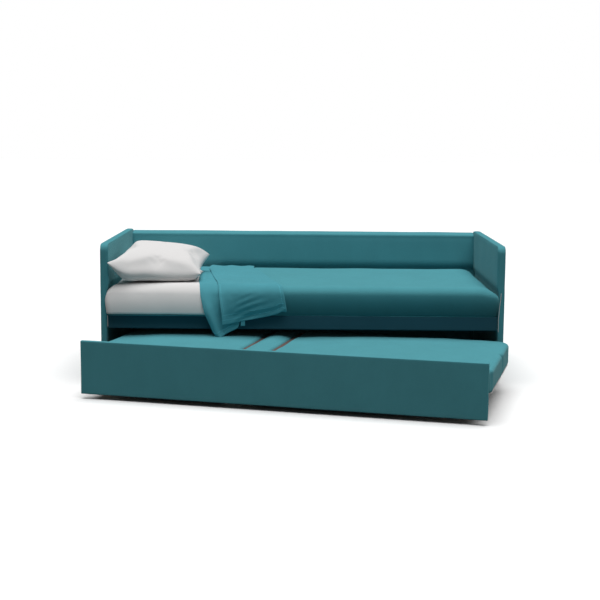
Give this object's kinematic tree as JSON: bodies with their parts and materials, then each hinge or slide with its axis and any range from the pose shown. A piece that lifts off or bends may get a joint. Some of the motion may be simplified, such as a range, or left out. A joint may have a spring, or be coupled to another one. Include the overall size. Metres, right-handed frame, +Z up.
{
  "type": "sofa bed",
  "caption": "Upholstered single sofa bed with low padded arms and back, bedding on its mattress, and a second bed on castors pulled out from beneath it.",
  "frame": {"origin": "on the floor, under the middle of the whole object's box with the second bed pulled out as stored", "axes": "+X along the sofa to the right as one faces it, +Y from its front to its back, +Z up"},
  "size_m": [2.1208, 1.8558, 0.728],
  "materials": {
    "teal_weave": "plain matt woven upholstery",
    "white_linen": "matt cotton",
    "throw_cloth": "soft matt cotton",
    "frame_timber": "planed",
    "dark_slat_wood": "stained, satin",
    "black_plastic": "fine grain",
    "zinc_steel": "zinc plated",
    "grey_tread": "matt"
  },
  "bodies": {
    "sofa": {"left_arm_board": "frame_timber", "right_arm_board": "frame_timber", "left_arm_cover": "teal_weave", "right_arm_cover": "teal_weave", "back_board": "frame_timber", "back_cover": "teal_weave", "front_rail_board": "frame_timber", "front_rail_cover": "teal_weave", "front_ledger": "dark_slat_wood", "rear_rail": "dark_slat_wood", "upper_slats": "dark_slat_wood", "upper_slat_caps": "black_plastic", "corner_brackets": "zinc_steel", "bracket_bolts": "zinc_steel", "floor_glides": "black_plastic", "upper_mattress": "teal_weave", "fitted_sheet": "white_linen", "pillow": "white_linen", "throw_blanket": "throw_cloth"},
    "rear_right_castor": {"castor_fork_rear_right": "zinc_steel", "castor_axle_rear_right": "zinc_steel"},
    "pull_out_bed": {"pull_out_panel_board": "frame_timber", "pull_out_panel_cover": "teal_weave", "pull_out_front_rail": "dark_slat_wood", "pull_out_rear_rail": "dark_slat_wood", "pull_out_left_rail": "dark_slat_wood", "pull_out_right_rail": "dark_slat_wood", "pull_out_left_cross_bar": "dark_slat_wood", "pull_out_right_cross_bar": "dark_slat_wood", "pull_out_slats": "dark_slat_wood", "castor_boards": "frame_timber", "panel_brackets": "zinc_steel", "castor_plates": "zinc_steel", "castor_plate_screws": "zinc_steel", "left_mattress_block": "teal_weave", "middle_mattress_block": "teal_weave", "right_mattress_block": "teal_weave"},
    "front_left_castor": {"castor_fork_front_left": "zinc_steel", "castor_axle_front_left": "zinc_steel"},
    "front_right_castor": {"castor_fork_front_right": "zinc_steel", "castor_axle_front_right": "zinc_steel"},
    "rear_left_castor": {"castor_fork_rear_left": "zinc_steel", "castor_axle_rear_left": "zinc_steel"},
    "front_left_wheel": {"castor_wheel_front_left": "grey_tread"},
    "front_right_wheel": {"castor_wheel_front_right": "grey_tread"},
    "rear_left_wheel": {"castor_wheel_rear_left": "grey_tread"},
    "rear_right_wheel": {"castor_wheel_rear_right": "grey_tread"}
  },
  "joints": [
    {"name": "pull_out", "type": "slide", "parent": "sofa", "child": "rear_right_castor", "axis": [-0.047, 0.9989, 0], "range_m": [-0.2, 0.86646]},
    {"name": "swing", "type": "hinge", "parent": "rear_right_castor", "child": "pull_out_bed", "pos_m": [0.89856, -0.16864, 0.07], "axis": [0, 0, 1], "range_deg": [-3.6, 14.85]},
    {"name": "front_left_swivel", "type": "hinge", "parent": "pull_out_bed", "child": "front_left_castor", "pos_m": [-0.90546, -0.34155, 0.07], "axis": [0, 0, 1], "continuous": true},
    {"name": "front_right_swivel", "type": "hinge", "parent": "pull_out_bed", "child": "front_right_castor", "pos_m": [0.73814, -0.77581, 0.07], "axis": [0, 0, 1], "continuous": true},
    {"name": "rear_left_swivel", "type": "hinge", "parent": "pull_out_bed", "child": "rear_left_castor", "pos_m": [-0.74504, 0.26561, 0.07], "axis": [0, 0, 1], "continuous": true},
    {"name": "front_left_roll", "type": "hinge", "parent": "front_left_castor", "child": "front_left_wheel", "pos_m": [-0.90649, -0.31958, 0.025], "axis": [0.9989, 0.047, 0], "continuous": true},
    {"name": "front_right_roll", "type": "hinge", "parent": "front_right_castor", "child": "front_right_wheel", "pos_m": [0.73711, -0.75383, 0.025], "axis": [0.9989, 0.047, 0], "continuous": true},
    {"name": "rear_left_roll", "type": "hinge", "parent": "rear_left_castor", "child": "rear_left_wheel", "pos_m": [-0.74607, 0.28759, 0.025], "axis": [0.9989, 0.047, 0], "continuous": true},
    {"name": "rear_right_roll", "type": "hinge", "parent": "rear_right_castor", "child": "rear_right_wheel", "pos_m": [0.89753, -0.14667, 0.025], "axis": [0.9989, 0.047, 0], "continuous": true}
  ],
  "couplings": [
    {"joint": "swing", "follows": "pull_out", "rad_per_m": 0.29812}
  ]
}
